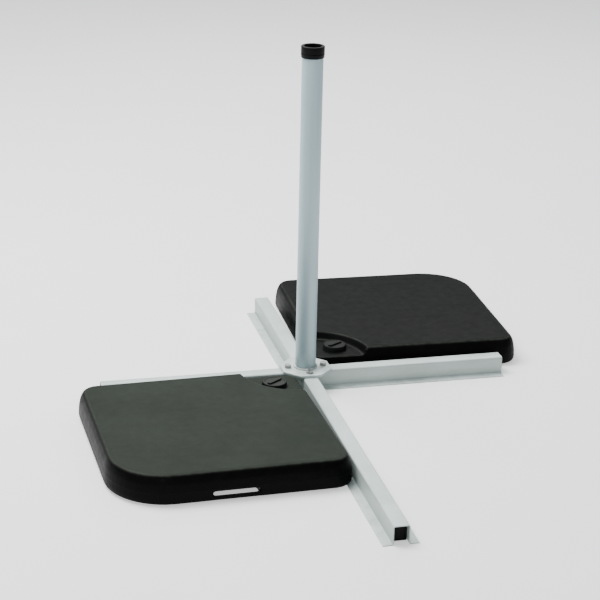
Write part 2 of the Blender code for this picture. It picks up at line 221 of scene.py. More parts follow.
def add(name, mesh, look, place=(0.0, 0.0, 0.0), turn=0.0, sharp=32):
    mesh.shade_smooth()
    mesh.set_sharp_from_angle(angle=math.radians(sharp))
    mesh.materials.clear()
    if look:
        mesh.materials.append(look)
    piece = bpy.data.objects.new(name, mesh)
    piece.location = place
    piece.rotation_euler = (0.0, 0.0, turn)
    bpy.context.collection.objects.link(piece)
    return piece


def cut(target, mesh):
    """Cuts mesh, given in the target's own frame, from it and leaves no helper behind."""
    bpy.context.view_layer.update()
    helper = bpy.data.objects.new("helper", mesh)
    helper.matrix_world = target.matrix_world
    bpy.context.collection.objects.link(helper)
    modifier = target.modifiers.new("boolean", "BOOLEAN")
    modifier.operation = "DIFFERENCE"
    modifier.solver = "EXACT"
    modifier.object = helper
    bake(target)
    bpy.data.objects.remove(helper, do_unlink=True)


def bake(piece):
    """Makes the piece's modifiers part of its mesh."""
    bpy.context.view_layer.update()
    graph = bpy.context.evaluated_depsgraph_get()
    made = bpy.data.meshes.new_from_object(piece.evaluated_get(graph))
    piece.modifiers.clear()
    piece.data = made


def bevel_edges(piece, width, segments, angle):
    """Adds a bevel of the piece's edges that are sharper than angle, in degrees."""
    bevel = piece.modifiers.new("edge", "BEVEL")
    bevel.width = width
    bevel.segments = segments
    bevel.limit_method = "ANGLE"
    bevel.angle_limit = math.radians(angle)


# ---------------------------------------------------------------- materials


class Look:
    """A Principled material with the few node patterns that the surfaces share."""

    def __init__(self, name, roughness, metallic=0.0, specular=0.5):
        self.material = bpy.data.materials.new(name)
        self.material.use_nodes = True
        self.nodes = self.material.node_tree.nodes
        self.links = self.material.node_tree.links
        self.shader = self.nodes["Principled BSDF"]
        self.shader.inputs["Metallic"].default_value = metallic
        self.shader.inputs["Roughness"].default_value = roughness
        self.shader.inputs["Specular IOR Level"].default_value = specular
        self.where = self.nodes.new("ShaderNodeTexCoord").outputs["Object"]
        self.height = None

    def scaled(self, scale):
        mapping = self.nodes.new("ShaderNodeMapping")
        mapping.inputs["Scale"].default_value = scale
        self.links.new(self.where, mapping.inputs["Vector"])
        return mapping.outputs["Vector"]

    def noise(self, scale, detail=4.0, rough=0.6, stretch=(1.0, 1.0, 1.0), distortion=0.0):
        node = self.nodes.new("ShaderNodeTexNoise")
        node.inputs["Scale"].default_value = scale
        node.inputs["Detail"].default_value = detail
        node.inputs["Roughness"].default_value = rough
        node.inputs["Distortion"].default_value = distortion
        self.links.new(self.scaled(stretch), node.inputs["Vector"])
        return node.outputs["Fac"]

    def cells(self, scale):
        node = self.nodes.new("ShaderNodeTexVoronoi")
        node.inputs["Scale"].default_value = scale
        self.links.new(self.where, node.inputs["Vector"])
        return node.outputs["Color"]

    def ramp(self, value, low, high, start=0.0, end=1.0):
        node = self.nodes.new("ShaderNodeMapRange")
        node.inputs["From Min"].default_value = low
        node.inputs["From Max"].default_value = high
        node.inputs["To Min"].default_value = start
        node.inputs["To Max"].default_value = end
        self.links.new(value, node.inputs["Value"])
        return node.outputs["Result"]

    def math(self, operation, a, b):
        node = self.nodes.new("ShaderNodeMath")
        node.operation = operation
        for socket, value in zip(node.inputs, (a, b)):
            if isinstance(value, (int, float)):
                socket.default_value = value
            else:
                self.links.new(value, socket)
        return node.outputs[0]

    def mix(self, factor, a, b):
        node = self.nodes.new("ShaderNodeMix")
        node.data_type = "RGBA"
        for socket, value in ((node.inputs["Factor"], factor), (node.inputs["A"], a), (node.inputs["B"], b)):
            if isinstance(value, tuple):
                socket.default_value = (*value, 1.0)
            elif isinstance(value, (int, float)):
                socket.default_value = value
            else:
                self.links.new(value, socket)
        return node.outputs["Result"]

    def axis(self, letter):
        node = self.nodes.new("ShaderNodeSeparateXYZ")
        self.links.new(self.where, node.inputs[0])
        return node.outputs[letter]

    def facing_up(self, low=0.80, high=0.98):
        """1 on faces that look up, 0 on the sides."""
        geometry = self.nodes.new("ShaderNodeNewGeometry")
        parts = self.nodes.new("ShaderNodeSeparateXYZ")
        self.links.new(geometry.outputs["Normal"], parts.inputs[0])
        return self.ramp(parts.outputs["Z"], low, high)

    def colour(self, value):
        self.links.new(value, self.shader.inputs["Base Color"])

    def roughness(self, value):
        self.links.new(value, self.shader.inputs["Roughness"])

    def bump(self, value, distance, strength=1.0):
        node = self.nodes.new("ShaderNodeBump")
        node.inputs["Distance"].default_value = distance
        node.inputs["Strength"].default_value = strength
        self.links.new(value, node.inputs["Height"])
        if self.height:
            self.links.new(self.height, node.inputs["Normal"])
        self.height = node.outputs["Normal"]
        self.links.new(self.height, self.shader.inputs["Normal"])


def cross_steel(name, along):
    """Galvanised and painted pale grey, with painted shade on the vertical faces; along is the axis it was
    rolled along.
    """
    look = Look(name, 0.42, 0.20, 0.35)
    stretch = (1.0, 0.06, 1.0) if along == "Y" else (0.06, 1.0, 1.0)
    cloud = look.noise(9.0, 5.0)
    rolled = look.noise(160.0, 3.0, stretch=stretch)
    spangle = look.nodes.new("ShaderNodeSeparateColor")
    look.links.new(look.cells(170.0), spangle.inputs[0])
    base = look.mix(look.ramp(cloud, 0.35, 0.65), (0.53, 0.62, 0.59), (0.65, 0.75, 0.72))
    base = look.mix(look.ramp(spangle.outputs[0], 0.0, 1.0, 0.0, 0.16), base, (0.70, 0.73, 0.72))
    scuffs = look.ramp(look.noise(55.0, 6.0, 0.75, stretch=(1.0, 1.0, 2.5), distortion=1.2), 0.60, 0.72)
    base = look.mix(look.math("MULTIPLY", scuffs, 0.50), base, (0.28, 0.30, 0.28))
    # Painted shade: the vertical faces are darkened, as if less lit than the tops.
    upright_painted_shade = look.math("SUBTRACT", 1.0, look.facing_up(0.30, 0.80))
    base = look.mix(look.math("MULTIPLY", upright_painted_shade, 0.62), base, (0.22, 0.27, 0.25))
    low = look.ramp(look.axis("Z"), 0.001, 0.007, 1.0, 0.0)
    dirt = look.math("MULTIPLY", low, look.ramp(look.noise(38.0, 6.0, 0.7), 0.50, 0.68, 0.0, 0.30))
    look.colour(look.mix(dirt, base, (0.19, 0.175, 0.15)))
    rough = look.math("ADD", look.ramp(rolled, 0.3, 0.7, 0.33, 0.50), look.math("MULTIPLY", dirt, 0.3))
    look.roughness(rough)
    look.bump(rolled, 0.00008)
    look.bump(look.noise(900.0, 2.0), 0.00004)
    return look.material


def mast_paint():
    look = Look("mast_paint", 0.40, 0.15, 0.3)
    flakes = look.noise(2600.0, 1.0)
    streaks = look.noise(30.0, 4.0, stretch=(1.0, 1.0, 0.04))
    base = look.mix(look.ramp(streaks, 0.35, 0.65), (0.345, 0.465, 0.495), (0.405, 0.528, 0.558))
    base = look.mix(look.ramp(flakes, 0.55, 0.75, 0.0, 0.35), base, (0.52, 0.58, 0.59))
    scratches = look.ramp(look.noise(70.0, 8.0, 0.8, stretch=(1.0, 1.0, 0.3), distortion=2.0), 0.66, 0.70)
    base = look.mix(look.math("MULTIPLY", scratches, 0.4), base, (0.24, 0.26, 0.27))
    # Painted shade: the tube's colour darkens towards its foot.
    shade = look.ramp(look.axis("Z"), 0.05, 0.45, 0.30, 0.0)
    base = look.mix(shade, base, (0.20, 0.285, 0.31))
    foot = look.ramp(look.axis("Z"), 0.05, 0.12, 1.0, 0.0)
    grime = look.math("MULTIPLY", foot, look.ramp(look.noise(60.0, 6.0, 0.7), 0.45, 0.65, 0.0, 0.5))
    look.colour(look.mix(grime, base, (0.20, 0.19, 0.17)))
    look.roughness(look.ramp(streaks, 0.3, 0.7, 0.34, 0.46))
    look.bump(look.noise(420.0, 3.0), 0.00005)
    return look.material


def zinc_steel():
    look = Look("zinc_steel", 0.36, 1.0)
    cloud = look.noise(260.0, 5.0, 0.7)
    base = look.mix(look.ramp(cloud, 0.35, 0.65), (0.26, 0.27, 0.26), (0.42, 0.43, 0.42))
    rust = look.ramp(look.noise(420.0, 6.0, 0.8), 0.64, 0.72, 0.0, 0.6)
    look.colour(look.mix(rust, base, (0.16, 0.09, 0.05)))
    look.roughness(look.ramp(cloud, 0.3, 0.7, 0.28, 0.50))
    look.bump(look.noise(1500.0, 3.0), 0.00003)
    return look.material


def weld_steel():
    look = Look("weld_steel", 0.45, 0.6)
    cloud = look.noise(180.0, 5.0, 0.7)
    look.colour(look.mix(look.ramp(cloud, 0.3, 0.7), (0.34, 0.37, 0.37), (0.52, 0.56, 0.55)))
    look.roughness(look.ramp(cloud, 0.3, 0.7, 0.35, 0.6))
    look.bump(look.noise(700.0, 3.0), 0.0001)
    return look.material


def moulded_black(name, base, roughness, dust_and_sheen=0.0):
    """Black moulded plastic with a fine spark-eroded grain, scuffs and, outdoors, a lighter coat on upward
    faces that is partly dusty deposit and partly painted sheen.
    """
    look = Look(name, roughness, 0.0, 0.07)
    cloud = look.noise(28.0, 5.0)
    worn = tuple(channel * 2.2 + 0.002 for channel in base)
    colour = look.mix(look.ramp(cloud, 0.3, 0.7), base, worn)
    scuffs = look.ramp(look.noise(120.0, 8.0, 0.8, distortion=1.5), 0.62, 0.68, 0.0, 0.25)
    colour = look.mix(scuffs, colour, (0.05, 0.05, 0.048))
    if dust_and_sheen:
        # Lighter coat on upward faces: partly dusty deposit, partly painted sheen.
        patches = look.ramp(look.noise(16.0, 6.0, 0.7), 0.3, 0.7, 0.5, 1.0)
        film_and_sheen = look.math("MULTIPLY", look.facing_up(), patches)
        colour = look.mix(look.math("MULTIPLY", film_and_sheen, dust_and_sheen), colour, (0.05, 0.055, 0.047))
    look.colour(colour)
    look.roughness(look.ramp(cloud, 0.3, 0.7, roughness - 0.06, roughness + 0.10))
    look.bump(look.noise(1300.0, 2.0), 0.00005)
    return look.material


def tank_plastic(name, film_and_sheen_amount):
    """Blow-moulded tank: near-black sides, and a grey-green coat on what faces the sky, partly weathering
    and partly painted sheen.
    """
    look = Look(name, 0.55, 0.0, 0.04)
    cloud = look.noise(5.0, 6.0, 0.62)
    mottle = look.noise(42.0, 6.0, 0.7)
    wash = look.noise(11.0, 6.0, 0.65, stretch=(0.75, 1.0, 1.0), distortion=0.8)
    black = look.mix(look.ramp(mottle, 0.3, 0.7), (0.0008, 0.0010, 0.0008), (0.0018, 0.0021, 0.0017))
    # The grey-green on upward faces is partly weathering and partly painted sheen.
    film_and_sheen = look.ramp(cloud, 0.30, 0.70, 0.80, 1.0)
    film_and_sheen = look.math("MULTIPLY", film_and_sheen, look.ramp(wash, 0.32, 0.68, 0.84, 1.0))
    film_and_sheen = look.math("MULTIPLY", film_and_sheen, look.facing_up(0.72, 0.99))
    film_and_sheen = look.math("MULTIPLY", film_and_sheen, film_and_sheen_amount)
    colour = look.mix(film_and_sheen, black, (0.033, 0.040, 0.032))
    specks = look.ramp(look.noise(300.0, 3.0, 0.7), 0.66, 0.72, 0.0, 0.45)
    specks = look.math("MULTIPLY", specks, film_and_sheen)
    colour = look.mix(specks, colour, (0.075, 0.078, 0.066))
    # Painted highlight along the rounded edge between the top and the sides.
    below_top = look.math("SUBTRACT", 1.0, look.facing_up(0.93, 0.995))
    ridge_highlight = look.math("MULTIPLY", look.facing_up(0.60, 0.85), below_top)
    ridge_highlight = look.math("MULTIPLY", ridge_highlight, look.ramp(mottle, 0.35, 0.65, 0.15, 0.45))
    colour = look.mix(ridge_highlight, colour, (0.060, 0.065, 0.056))
    scratches = look.ramp(look.noise(24.0, 9.0, 0.78, stretch=(0.4, 1.6, 1.0), distortion=2.5), 0.655, 0.675)
    colour = look.mix(look.math("MULTIPLY", scratches, 0.22), colour, (0.06, 0.065, 0.056))
    look.colour(colour)
    rough = look.ramp(mottle, 0.3, 0.7, 0.40, 0.52)
    look.roughness(look.math("ADD", rough, look.math("MULTIPLY", film_and_sheen, 0.12)))
    seam = look.math("ABSOLUTE", look.math("SUBTRACT", look.axis("Z"), TANK_SEAM), 0.0)
    look.bump(look.ramp(seam, 0.0002, 0.0010, 1.0, 0.0), 0.0003)
    look.bump(look.noise(7.0, 3.0), 0.0012, 0.5)
    look.bump(look.noise(230.0, 3.0), 0.00012)
    look.bump(look.noise(1100.0, 2.0), 0.00006)
    return look.material


def seal_rubber():
    look = Look("seal_rubber", 0.8, 0.0, 0.3)
    cloud = look.noise(300.0, 4.0)
    look.colour(look.mix(look.ramp(cloud, 0.3, 0.7), (0.008, 0.008, 0.008), (0.02, 0.02, 0.02)))
    look.bump(look.noise(1800.0, 2.0), 0.00004)
    return look.material


def ballast_sand():
    look = Look("ballast_sand", 0.95, 0.0, 0.2)
    grain = look.cells(900.0)
    parts = look.nodes.new("ShaderNodeSeparateColor")
    look.links.new(grain, parts.inputs[0])
    look.colour(look.mix(parts.outputs[0], (0.30, 0.23, 0.14), (0.58, 0.48, 0.34)))
    look.bump(parts.outputs[1], 0.0006)
    return look.material


LONG_STEEL = cross_steel("cross_steel_long", "Y")
CROSS_STEEL = cross_steel("cross_steel_cross", "X")
PAINT = mast_paint()
ZINC = zinc_steel()
WELD = weld_steel()
BLACK = moulded_black("black_plastic", (0.0015, 0.0017, 0.0016), 0.42)
NYLON = moulded_black("black_nylon", (0.008, 0.008, 0.008), 0.35)
RUBBER = seal_rubber()
SAND = ballast_sand()
# The front tank's top is lighter than the back one's: partly more weathering, partly painted sheen.
TANK_LOOKS = {
    side: tank_plastic(f"tank_plastic_{side}", film_and_sheen) for side, film_and_sheen in (("front", 0.87), ("back", 0.12))
}
# The caps' lighter upward coat is partly dusty deposit and partly painted sheen; the front cap's is
# stronger, like the front tank's top.
CAP_LOOKS = {
    side: moulded_black(f"cap_plastic_{side}", (0.0035, 0.0040, 0.0035), 0.45, dust_and_sheen)
    for side, dust_and_sheen in (("front", 0.70), ("back", 0.20))
}


# ---------------------------------------------------------------- cross


def hat_outline(width, height, flange_half):
    web_out = width / 2
    web_in = web_out - SHEET
    top_in = height - SHEET
    inner, outer = BEND_RADIUS, BEND_RADIUS + SHEET
    right = [
        (web_in, 0.0, outer), (flange_half, 0.0, FLANGE_EDGE), (flange_half, SHEET, FLANGE_EDGE),
        (web_out, SHEET, inner), (web_out, height, outer),
    ]
    left = [(-x, z, radius) for x, z, radius in reversed(right)]
    return rounded_path(right + left + [(-web_in, top_in, inner), (web_in, top_in, inner)])


def drill(centre, low, high):
    hole = circle(HOLE_RADIUS, HOLE_STEPS, centre)
    return mesh_from_rings("drill", [flat_ring(hole, z) for z in (low, high)])


def bar(name, node, along, look):
    """One bar of the cross, as its CAD box says, with its half-lap and bolt holes."""
    low, high = node_box(node)
    lengthwise, across = (1, 0) if along == "Y" else (0, 1)
    start, end = low[lengthwise] - MAST[lengthwise], high[lengthwise] - MAST[lengthwise]
    flange_half = (high[across] - low[across]) / 2
    height = high.z
    outline = hat_outline(CHANNEL_WIDTH, height, flange_half)
    rings = [[(x, y, z) for x, z in outline] for y in (start, end)]
    if along == "X":
        rings = [[(y, -x, z) for x, y, z in ring] for ring in rings]
    piece = add(name, mesh_from_rings(name, rings), look, (*MAST, 0.0))
    reach = flange_half + OVERCUT
    if along == "Y":
        side = flange_half + GAP
        corners = (-reach, -side, -OVERCUT), (reach, side, LAP_HEIGHT + GAP)
    else:
        side = CHANNEL_WIDTH / 2 + GAP
        corners = (-side, -reach, LAP_HEIGHT), (side, reach, height + OVERCUT)
    cut(piece, box_mesh("lap", *corners))
    for way in (-1, 1):
        centre = (0.0, way * BOLT_CIRCLE) if along == "Y" else (way * BOLT_CIRCLE, 0.0)
        cut(piece, drill(centre, LAP_HEIGHT + OVERCUT, height + OVERCUT))
    finish_piece(piece, "root", "cross_steel", node)


def finish_piece(piece, body, slot, *nodes):
    piece.data.shade_smooth()
    piece.data.set_sharp_from_angle(angle=math.radians(34))
    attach(piece, body)
    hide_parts(*nodes)


def plate_outline(half, clip):
    """Square with its corners cut off."""
    points = []
    for turn in range(4):
        for x, y in ((half, -half + clip), (half, half - clip)):
            points.append([(x, y), (-y, x), (-x, -y), (y, -x)][turn])
    return points


def foot_plate():
    low, high = node_box("foot_plate")
    half = (high.x - low.x) / 2
    rings = [flat_ring(plate_outline(half, PLATE_CLIP), z) for z in (low.z, high.z)]
    piece = add("plate", mesh_from_rings("plate", rings), LONG_STEEL, (*MAST, 0.0))
    for i in range(4):
        a = math.tau * i / 4
        centre = (BOLT_CIRCLE * math.cos(a), BOLT_CIRCLE * math.sin(a))
        cut(piece, drill(centre, *PLATE_DRILL))
    bevel_edges(piece, PLATE_EDGE, 3, 35)
    bake(piece)
    finish_piece(piece, "root", "cross_steel", "foot_plate")


def weld_bead():
    """Fillet weld with the ripples that its many small puddles leave."""
    low, high = node_box("weld_bead")
    inner = TUBE_RADIUS + GAP
    leg = high.z - low.z
    ripple_steps, arc_steps = 6, 8
    toe = 0.0001
    steps = WELD_RIPPLES * ripple_steps
    rings = []
    for i in range(steps):
        a = math.tau * i / steps
        phase = (i % ripple_steps) / ripple_steps * math.tau
        # Each puddle swells a little, and the bead's size wanders round the tube.
        swell = 0.74 + 0.05 * math.cos(phase) + 0.03 * math.sin(3 * a) + 0.02 * math.sin(11 * a + 1.0)
        profile = [(inner, 0.0)]
        for step in range(arc_steps + 1):
            t = step / arc_steps * math.pi / 2
            profile.append((inner + leg * swell * math.cos(t), leg * swell * math.sin(t) + toe))
        rings.append([(r * math.cos(a), r * math.sin(a), low.z + z) for r, z in profile])
    piece = add("weld", mesh_from_rings("weld", rings, closed=True), WELD, (*MAST, 0.0))
    finish_piece(piece, "root", "cross_steel", "weld_bead")


def bolt(side):
    """Hexagon bolt with a chamfered head, a washer face under it and a threaded shank."""
    low, high = node_box(f"bolt_{side}")
    head_low = node_box(f"washer_{side}")[1].z + GAP
    steps = 48
    half = HEAD_FLATS / 2
    corner = half / math.cos(math.pi / 6)

    def hexagon(limit, z):
        ring = []
        for i in range(steps):
            a = math.tau * i / steps
            to_flat = (a + math.pi / 6) % (math.pi / 3) - math.pi / 6
            reach = min(half / math.cos(to_flat), limit)
            ring.append((reach * math.cos(a), reach * math.sin(a), z))
        return ring

    def disc(radius, z):
        return flat_ring(circle(radius, steps), z)

    rings = [disc(SHANK_RADIUS * 0.8, low.z)]
    z = low.z + 0.0006
    while z + THREAD_PITCH < head_low - PLAIN_SHANK:
        rings += [disc(THREAD_ROOT, z), disc(SHANK_RADIUS, z + THREAD_PITCH / 2)]
        z += THREAD_PITCH
    rings += [disc(SHANK_RADIUS, z + THREAD_PITCH / 2), disc(SHANK_RADIUS, head_low)]
    # Washer face, hexagon with both its chamfers, crown
    washer_face = half * 0.94
    rings += [disc(washer_face, head_low), disc(washer_face, head_low + 0.0003)]
    rings += [hexagon(corner - 0.0005, head_low + 0.0004), hexagon(corner, head_low + 0.0010)]
    rings += [hexagon(corner, high.z - 2 * HEAD_CHAMFER), hexagon(corner - HEAD_CHAMFER, high.z - 0.0005)]
    rings += [hexagon(half * 0.97, high.z - 0.0001), disc(half * 0.90, high.z)]
    centre = ((low.x + high.x) / 2, (low.y + high.y) / 2, 0.0)
    piece = add(f"bolt_{side}_fine", mesh_from_rings(f"bolt_{side}_fine", rings), ZINC, centre)
    finish_piece(piece, "root", "zinc_steel", f"bolt_{side}")


def end_plug(side, turn):
    """Plug of a bar's end: a block with a dished outer face, which looks along -Y before it is turned."""
    low, high = node_box(f"end_plug_{side}")
    middle = (low + high) / 2
    sizes = (high.x - low.x, high.y - low.y)
    across, depth = sizes if side in ("front", "back") else sizes[::-1]
    faces = {
        "front": (middle.x, low.y), "right": (high.x, middle.y),
        "back": (middle.x, high.y), "left": (low.x, middle.y),
    }

    def outline(inset):
        half, foot, top = across / 2 - inset, low.z + inset, high.z - inset
        bend = max(BEND_RADIUS - inset, PLUG_EDGE)
        corners = ((half, foot, PLUG_EDGE), (half, top, bend), (-half, top, bend), (-half, foot, PLUG_EDGE))
        return rounded_path(corners, 5)

    # (depth behind the face, inset): dish, rim, rounded edge, tapered inner end
    levels = [
        (PLUG_DISH, PLUG_RIM + PLUG_DRAFT), (PLUG_DISH, PLUG_RIM), (PLUG_DRAFT, PLUG_RIM - 0.0005),
        (0.0, PLUG_RIM - 0.0009),
    ]
    edge_steps = 4
    for step in reversed(range(edge_steps + 1)):
        t = step / edge_steps * math.pi / 2
        levels.append((PLUG_EDGE * (1 - math.sin(t)), PLUG_EDGE * (1 - math.cos(t))))
    levels += [(depth - PLUG_TAPER, 0.0), (depth, PLUG_DISH)]
    mesh = mesh_from_rings(f"plug_{side}", [[(x, y, z) for x, z in outline(inset)] for y, inset in levels])
    piece = add(f"plug_{side}", mesh, BLACK, (*faces[side], 0.0), turn)
    finish_piece(piece, "root", "black_plastic", f"end_plug_{side}")


# ---------------------------------------------------------------- mast


def rounded_wall(inner, outer, low, high, edge, steps):
    corners = ((inner, low, edge), (outer, low, edge), (outer, high, edge), (inner, high, edge))
    return rounded_path(corners, steps)


def mast_tube():
    profile = rounded_wall(TUBE_RADIUS - TUBE_WALL, TUBE_RADIUS, tube_low.z, tube_high.z, TUBE_EDGE, 2)
    piece = add("tube", turned_mesh("tube", profile), PAINT, (*MAST, 0.0))
    finish_piece(piece, "root", "mast_paint", "mast_tube")


def collar():
    """Fixed black sleeve with a shallow bead round its top."""
    low, high = node_box("mast_collar")
    inner, outer = TUBE_RADIUS + GAP, (high.x - low.x) / 2
    profile = rounded_path((
        (inner, low.z, 0.0003), (outer - 0.0006, low.z, 0.0010), (outer - COLLAR_BEAD, high.z - 0.0050, 0.0),
        (outer, high.z - 0.0040, 0.0), (outer, high.z, 0.0008), (inner, high.z, 0.0003),
    ), 4)
    piece = add("collar", turned_mesh("collar", profile), BLACK, (*MAST, 0.0))
    finish_piece(piece, "root", "black_plastic", "mast_collar")


def liner():
    """Nylon sleeve in the top of the tube, with a lip that the ring stands on."""
    low, high = node_box("bearing_liner")
    lip = (high.x - low.x) / 2
    sleeve = TUBE_RADIUS - TUBE_WALL - GAP
    lip_low = tube_high.z + GAP
    profile = (
        (LINER_BORE + LINER_EDGE, low.z), (sleeve - LINER_EDGE, low.z), (sleeve, low.z + LINER_TAPER),
        (sleeve, lip_low), (lip, lip_low), (lip, high.z), (LINER_BORE + LINER_LIP_EDGE, high.z),
        (LINER_BORE, high.z - LINER_LIP_EDGE), (LINER_BORE, low.z + LINER_EDGE),
    )
    piece = add("liner", turned_mesh("liner", profile), NYLON, (*MAST, 0.0))
    finish_piece(piece, "root", "black_nylon", "bearing_liner")


def swivel_ring():
    """Black ring with shallow flutes round its outer wall."""
    low, high = node_box("swivel_ring")
    inner, outer = LINER_BORE + GAP, (high.x - low.x) / 2
    profile = rounded_path((
        (inner, low.z, 0.0006), (outer, low.z, 0.0008), (outer, high.z, 0.0014), (inner, high.z, 0.0014),
    ), 4)
    flute_steps = 10
    steps = FLUTES * flute_steps
    rings = []
    for i in range(steps):
        a = math.tau * i / steps
        depth = FLUTE_DEPTH if i % flute_steps in (4, 5) else 0.0
        ring = []
        for r, z in profile:
            fluted = r > outer - 0.0002 and low.z + FLUTE_END < z < high.z - FLUTE_END
            reach = r - depth if fluted else r
            ring.append((reach * math.cos(a), reach * math.sin(a), z))
        rings.append(ring)
    piece = add("ring", mesh_from_rings("ring", rings, closed=True), BLACK, (*MAST, 0.0))
    finish_piece(piece, "swivel", "black_plastic", "swivel_ring")


# ---------------------------------------------------------------- ballast tanks


def tank_outline(inset, steps=16):
    """Plan of a tank at some inset from its widest: the filler corner is at the origin."""
    low, high = inset, TANK_SIDE - inset
    corners = (
        (low, low, FILLER_CORNER, math.pi),
        (high, low, SIDE_CORNER, -math.pi / 2),
        (high, high, OUTER_CORNER, 0.0),
        (low, high, SIDE_CORNER, math.pi / 2),
    )
    points = []
    for x, y, full, start in corners:
        radius = full - inset
        centre_x = x + radius if x == low else x - radius
        centre_y = y + radius if y == low else y - radius
        for step in range(steps + 1):
            a = start + step / steps * math.pi / 2
            points.append((centre_x + radius * math.cos(a), centre_y + radius * math.sin(a)))
    return points


def tank_skin(height):
    """The moulded form: lofted sides, quarter-round filler recess, grip slot and finger pocket."""
    rings = [flat_ring(tank_outline(inset), z) for z, inset in TANK_PROFILE]
    body = add("tank", mesh_from_rings("tank", rings), None)
    floor = height - RECESS_DEPTH
    slope = (RECESS_TOP_RADIUS - RECESS_FLOOR_RADIUS) / RECESS_DEPTH
    top = height + 2 * OVERCUT
    top_radius = RECESS_FLOOR_RADIUS + slope * (top - floor)
    recess = [flat_ring(circle(r, 160), z) for r, z in ((RECESS_FLOOR_RADIUS, floor), (top_radius, top))]
    cut(body, mesh_from_rings("recess", recess))
    left, right = (TANK_SIDE - GRIP_WIDTH) / 2, (TANK_SIDE + GRIP_WIDTH) / 2
    bar_back = TANK_SIDE - GRIP_BAR
    back = bar_back - GRIP_DEPTH
    cut(body, box_mesh("pocket", (left, back, -OVERCUT), (right, bar_back, GRIP_SLOT_TOP)))
    slot_start = back + GRIP_DEPTH / 2
    slot_end = TANK_SIDE + 2 * OVERCUT
    cut(body, box_mesh("slot", (left, slot_start, GRIP_BAR_TOP), (right, slot_end, GRIP_SLOT_TOP)))
    bore = [flat_ring(circle(NECK_BORE, 64, NECK_PLACE), z) for z in (FILL_HEIGHT - 0.003, height)]
    cut(body, mesh_from_rings("bore", bore))
    remesh = body.modifiers.new("skin", "REMESH")
    remesh.mode = "VOXEL"
    remesh.voxel_size = TANK_VOXEL
    smooth = body.modifiers.new("melt", "SMOOTH")
    smooth.factor = 0.5
    smooth.iterations = 4
    bake(body)
    mesh = body.data
    bpy.data.objects.remove(body, do_unlink=True)
    return mesh


def filler_neck_mesh(floor):
    """The neck that the cap screws on, with two ridges that stand for its thread."""
    top = floor + NECK_HEIGHT
    root = NECK_RADIUS - NECK_THREAD
    profile = [(NECK_BORE, floor - NECK_SINK), (NECK_RADIUS, floor - NECK_SINK), (root, floor + 0.001)]
    for z in (floor + 0.0020, floor + 0.0042):
        profile += [(root, z - 0.0007), (NECK_RADIUS, z - 0.0002)]
        profile += [(NECK_RADIUS, z + 0.0002), (root, z + 0.0007)]
    profile += [(root, top - 0.0003), (NECK_RADIUS - 0.0010, top)]
    profile += [(NECK_BORE + 0.0003, top), (NECK_BORE, top - 0.0003)]
    return turned_mesh("neck", profile)


def cap_mesh(name, ceiling):
    """Screw cap: fine grip ribs round the skirt and a dished top; ceiling is the top of its inside."""
    low, high = node_box(name)
    radius = (high.x - low.x) / 2
    rib_steps = 6
    steps = CAP_RIBS * rib_steps

    def disc(r, z):
        return flat_ring(circle(r, steps), z)

    def skirt(shrink, z, depth):
        ring = []
        for i in range(steps):
            wave = 0.5 - 0.5 * math.cos(math.tau * (i % rib_steps) / rib_steps)
            r = radius - shrink - depth * wave
            a = math.tau * i / steps
            ring.append((r * math.cos(a), r * math.sin(a), z))
        return ring

    bore = NECK_RADIUS + CAP_CLEAR
    rings = [disc(bore, ceiling), disc(bore, low.z)]
    rings += [skirt(0.0006, low.z, 0.0), skirt(0.0, low.z + 0.0006, 0.0), skirt(0.0, low.z + 0.0012, 0.0)]
    rings += [skirt(0.0001, low.z + 0.0020, CAP_RIB_DEPTH), skirt(0.0003, high.z - 0.0024, CAP_RIB_DEPTH)]
    shoulder_steps = 5
    for step in range(1, shoulder_steps + 1):
        t = step / shoulder_steps * math.pi / 2
        r = radius - CAP_SHOULDER - 0.0016 * (1 - math.cos(t))
        rings.append(disc(r, high.z - CAP_ROUND + CAP_ROUND * math.sin(t)))
    rings += [disc(radius * 0.86, high.z), disc(radius * 0.83, high.z - 0.0002)]
    rings += [disc(radius * 0.80, high.z - CAP_DISH), disc(radius * 0.3, high.z - CAP_DISH)]
    return mesh_from_rings(name, rings)


def cap_bar_mesh(name, radius, low, high):
    """The rounded bar across the cap's dish."""
    half_length, half_width = radius * 0.76, radius * 0.20
    end_steps = 12
    rings = []
    for z, shrink in ((low, 0.0), (high - 0.0009, 0.0004), (high - 0.0003, 0.0009), (high, 0.0016)):
        ring = []
        for way, start in ((1, -math.pi / 2), (-1, math.pi / 2)):
            centre = way * (half_length - half_width)
            reach = half_width - shrink
            for step in range(end_steps + 1):
                a = start + step / end_steps * math.pi
                ring.append((centre + reach * math.cos(a), reach * math.sin(a), z))
        rings.append(ring)
    return mesh_from_rings(name, rings)


